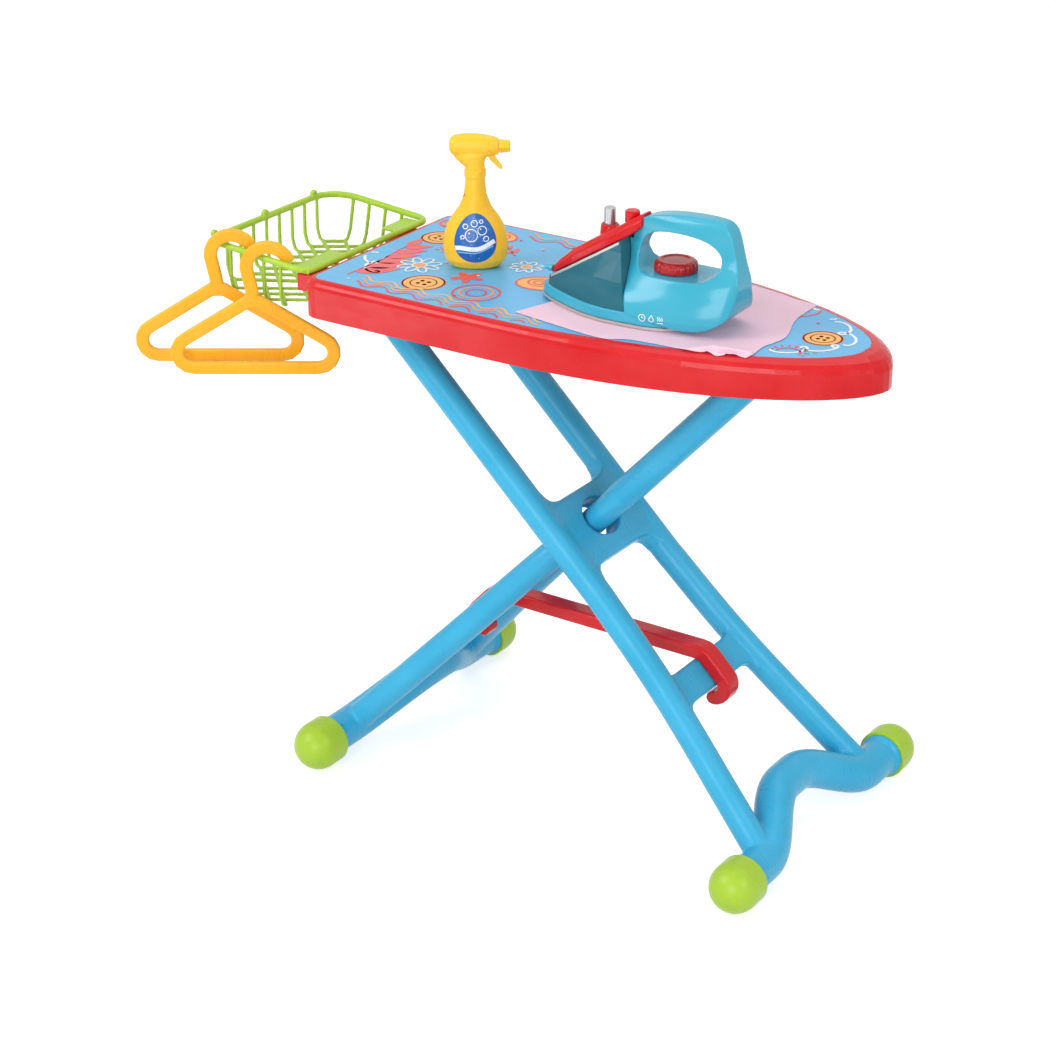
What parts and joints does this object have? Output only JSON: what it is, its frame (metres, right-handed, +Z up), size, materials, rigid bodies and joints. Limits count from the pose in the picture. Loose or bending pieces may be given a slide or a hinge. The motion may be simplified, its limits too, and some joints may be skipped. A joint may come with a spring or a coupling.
{
  "type": "toy ironing board play set",
  "caption": "Toy ironing board on crossed legs with a hook between them, an end basket with hangers, a toy iron, spray bottle and cloth on top.",
  "frame": {"origin": "on the floor under the middle of the bounding box", "axes": "+X along the board towards its round nose, +Y across it away from the hangers, +Z up"},
  "size_m": [0.7918, 0.389, 0.682],
  "materials": {
    "blue_plastic": "satin moulded polypropylene",
    "bottle_plastic": "blow moulded polyethylene",
    "green_plastic": "glossy moulded polypropylene",
    "grey_plastic": "satin moulded ABS",
    "label_film": "printed film",
    "pink_cloth": "woven polyester",
    "print_sheet": "printed sheet, satin",
    "red_plastic": "glossy moulded polypropylene",
    "screw_steel": "zinc plated",
    "silver_plastic": "silver plated plastic",
    "tank_plastic": "clear tinted polystyrene",
    "teal_plastic": "glossy moulded ABS",
    "white_plastic": "natural nylon",
    "yellow_plastic": "satin moulded polypropylene"
  },
  "bodies": {
    "board": {"board_shell": "red_plastic", "board_cover": "print_sheet", "hinge_bracket_near": "red_plastic", "hinge_bracket_far": "red_plastic", "slide_channel_near": "red_plastic", "slide_channel_far": "red_plastic", "basket_bracket_near": "red_plastic", "basket_bracket_far": "red_plastic", "leg_a_axle": "screw_steel", "deck_screw_1": "screw_steel", "deck_screw_2": "screw_steel", "deck_screw_3": "screw_steel", "deck_screw_4": "screw_steel", "deck_screw_5": "screw_steel", "deck_screw_6": "screw_steel", "deck_screw_7": "screw_steel", "deck_screw_8": "screw_steel", "deck_screw_9": "screw_steel", "deck_screw_10": "screw_steel"},
    "leg_a": {"leg_a_frame": "blue_plastic", "foot_cap_a_near": "green_plastic", "foot_cap_a_far": "green_plastic", "hub_pin_near": "blue_plastic", "hub_pin_far": "blue_plastic"},
    "leg_b": {"leg_b_frame": "blue_plastic", "foot_cap_b_near": "green_plastic", "foot_cap_b_far": "green_plastic", "leg_b_axle": "screw_steel", "slider_shoe_near": "white_plastic", "slider_shoe_far": "white_plastic"},
    "hook": {"spreader_hook": "red_plastic"},
    "basket": {"basket": "green_plastic"},
    "hanger_front": {"hanger_front": "yellow_plastic"},
    "hanger_back": {"hanger_back": "yellow_plastic"},
    "cloth": {"cloth": "pink_cloth"},
    "iron": {"iron_shell_near": "teal_plastic", "iron_shell_far": "teal_plastic", "iron_soleplate": "grey_plastic", "iron_water_tank": "tank_plastic", "iron_nose_cover": "red_plastic", "iron_spray_tip": "teal_plastic"},
    "iron_dial": {"iron_dial": "red_plastic"},
    "iron_spray_post": {"iron_spray_post": "silver_plastic"},
    "iron_steam_button": {"iron_steam_button": "red_plastic"},
    "bottle": {"bottle_body": "bottle_plastic", "bottle_label": "label_film", "bottle_collar": "bottle_plastic", "bottle_head": "bottle_plastic", "bottle_trigger_pin": "screw_steel", "bottle_dip_tube": "white_plastic"},
    "bottle_trigger": {"bottle_trigger": "bottle_plastic"},
    "bottle_nozzle": {"bottle_nozzle": "bottle_plastic"}
  },
  "joints": [
    {"name": "leg_a_fold", "type": "hinge", "parent": "board", "child": "leg_a", "pos_m": [-0.163, 0, 0.5135], "axis": [0, 1, 0], "range_deg": [0, 9]},
    {"name": "hub_pivot", "type": "hinge", "parent": "leg_a", "child": "leg_b", "pos_m": [0.06941, 0, 0.2897], "axis": [0, 1, 0], "range_deg": [-20, 0]},
    {"name": "hook_pivot", "type": "hinge", "parent": "leg_a", "child": "hook", "pos_m": [0.20123, 0, 0.16277], "axis": [0, 1, 0], "range_deg": [-9, 0]},
    {"name": "basket_lift", "type": "slide", "parent": "board", "child": "basket", "axis": [-0.5, 0, 0.866], "range_m": [0, 0.08]},
    {"name": "hanger_front_swing", "type": "hinge", "parent": "basket", "child": "hanger_front", "pos_m": [-0.25945, -0.1151, 0.54578], "axis": [-0.9957, 0, 0.0924], "range_deg": [0, 25]},
    {"name": "hanger_back_swing", "type": "hinge", "parent": "basket", "child": "hanger_back", "pos_m": [-0.30695, -0.1151, 0.55019], "axis": [-0.9957, 0, 0.0924], "range_deg": [0, 9]},
    {"name": "cloth_lift", "type": "slide", "parent": "board", "child": "cloth", "axis": [0, 0, 1], "range_m": [0, 0.05]},
    {"name": "iron_lift", "type": "slide", "parent": "cloth", "child": "iron", "axis": [0, 0, 1], "range_m": [0, 0.1]},
    {"name": "iron_dial_turn", "type": "hinge", "parent": "iron", "child": "iron_dial", "pos_m": [0.17844, -0.031, 0.5936], "axis": [0, 0, 1], "range_deg": [-150, 150]},
    {"name": "iron_post_press", "type": "slide", "parent": "iron", "child": "iron_spray_post", "axis": [0, 0, -1], "range_m": [0, 0.004], "stiffness_N_per_m": 250, "springref_m": -0.003},
    {"name": "iron_button_press", "type": "slide", "parent": "iron", "child": "iron_steam_button", "axis": [0, 0, -1], "range_m": [0, 0.004], "stiffness_N_per_m": 250, "springref_m": -0.003},
    {"name": "bottle_lift", "type": "slide", "parent": "board", "child": "bottle", "axis": [0, 0, 1], "range_m": [0, 0.1]},
    {"name": "bottle_trigger_squeeze", "type": "hinge", "parent": "bottle", "child": "bottle_trigger", "pos_m": [-0.0644, 0.00554, 0.6639], "axis": [0.5548, -0.832, 0], "range_deg": [0, 10], "stiffness_Nm_per_rad": 0.05, "springref_deg": -5.73},
    {"name": "bottle_nozzle_turn", "type": "hinge", "parent": "bottle", "child": "bottle_nozzle", "pos_m": [-0.05625, 0.01098, 0.66871], "axis": [0.832, 0.5548, 0], "range_deg": [-90, 90]}
  ],
  "couplings": [
    {"joint": "hub_pivot", "follows": "leg_a_fold", "ratio": -2.15},
    {"joint": "hook_pivot", "follows": "leg_a_fold", "ratio": -0.967}
  ]
}
